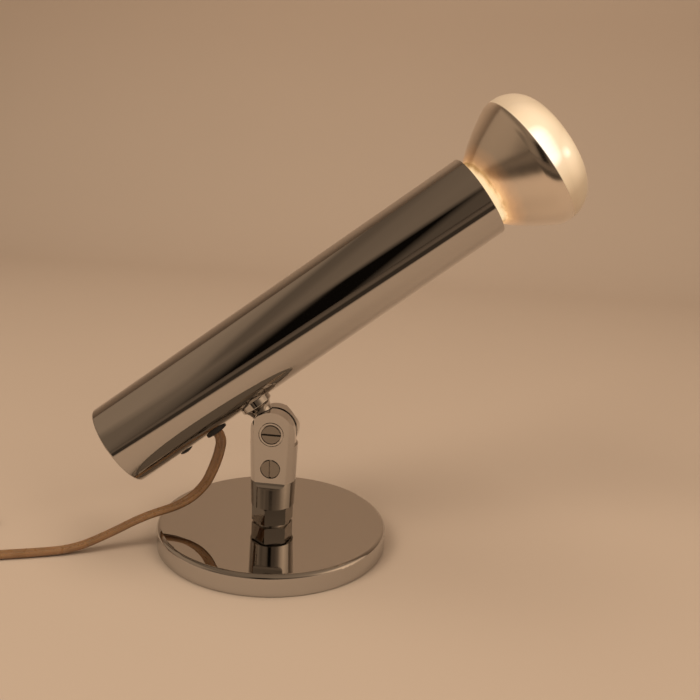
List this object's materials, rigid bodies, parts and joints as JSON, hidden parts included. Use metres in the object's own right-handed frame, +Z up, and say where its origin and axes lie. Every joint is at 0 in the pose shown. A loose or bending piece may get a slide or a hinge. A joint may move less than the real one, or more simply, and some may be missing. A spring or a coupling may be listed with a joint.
{
  "type": "table spotlight",
  "caption": "Tabletop searchlight lamp: a chrome tube with a reflector bulb in its mouth, on a half-lap swivel knuckle over a heavy round base, with a flat twin cord.",
  "frame": {"origin": "centre of the round base's underside, on the table", "axes": "+Z up; +X is the way the tube's mouth leans out; the tilt axis is along Y; +Y is behind the knuckle's front flat"},
  "size_m": [0.5411, 0.1959, 0.3126],
  "materials": {
    "felt": "matt felt",
    "cast_iron": "as cast",
    "chrome": "bright chrome plate",
    "steel": "zinc plated",
    "screw_steel": "nickel plate",
    "black_plastic": "satin black",
    "black_rubber": "matt black",
    "cord_amber": "clear amber sheath",
    "porcelain": "glazed",
    "brass": "plain",
    "solder": "dull",
    "black_glass": "gloss",
    "cap_aluminium": "plain",
    "bulb_glass": "silvered reflector with a frosted face",
    "clear_glass": "clear",
    "tungsten": "dull",
    "plug_brown": "satin brown"
  },
  "bodies": {
    "base": {"felt_pad": "felt", "base_weight": "cast_iron", "base_shell": "chrome", "stud_washer": "steel", "stud_nut": "steel", "spindle": "chrome", "collar_nut": "chrome", "thrust_washer": "steel"},
    "swivel": {"knuckle_body": "chrome", "pivot_ring": "chrome", "pivot_screw": "screw_steel", "spring_washer": "steel", "pivot_nut": "steel", "retaining_screw": "screw_steel", "cord_lead": "cord_amber", "cord_coil": "cord_amber", "cord_tail": "cord_amber", "cord_tie": "black_plastic", "plug_body": "plug_brown", "plug_blade_left": "brass", "plug_blade_right": "brass"},
    "head": {"knuckle_lug": "chrome", "saddle_washer": "chrome", "inner_washer": "steel", "stem_nut": "steel", "lamp_tube": "chrome", "end_cap": "chrome", "switch_body": "black_plastic", "cord_bushing": "black_rubber", "cord_inlet": "cord_amber", "socket_plate": "steel", "socket_body": "porcelain", "socket_nut": "steel", "socket_shell": "brass", "socket_contact": "brass", "bulb_tip_contact": "solder", "bulb_insulator": "black_glass", "bulb_cap": "cap_aluminium", "bulb_envelope": "bulb_glass", "bulb_mount": "clear_glass", "filament": "tungsten", "wire_live": "cord_amber", "wire_neutral": "cord_amber", "wire_switched": "cord_amber"},
    "button": {"switch_button": "black_plastic"}
  },
  "joints": [
    {"name": "pan", "type": "hinge", "parent": "base", "child": "swivel", "pos_m": [0, 0, 0.0286], "axis": [0, 0, 1], "continuous": true},
    {"name": "tilt", "type": "hinge", "parent": "swivel", "child": "head", "pos_m": [0, 0, 0.0829], "axis": [0, 1, 0], "range_deg": [-20, 50], "deforming": ["cord_lead"]},
    {"name": "button_press", "type": "slide", "parent": "head", "child": "button", "axis": [-0.6077, 0, 0.7942], "range_m": [0, 0.0015], "stiffness_N_per_m": 600}
  ]
}
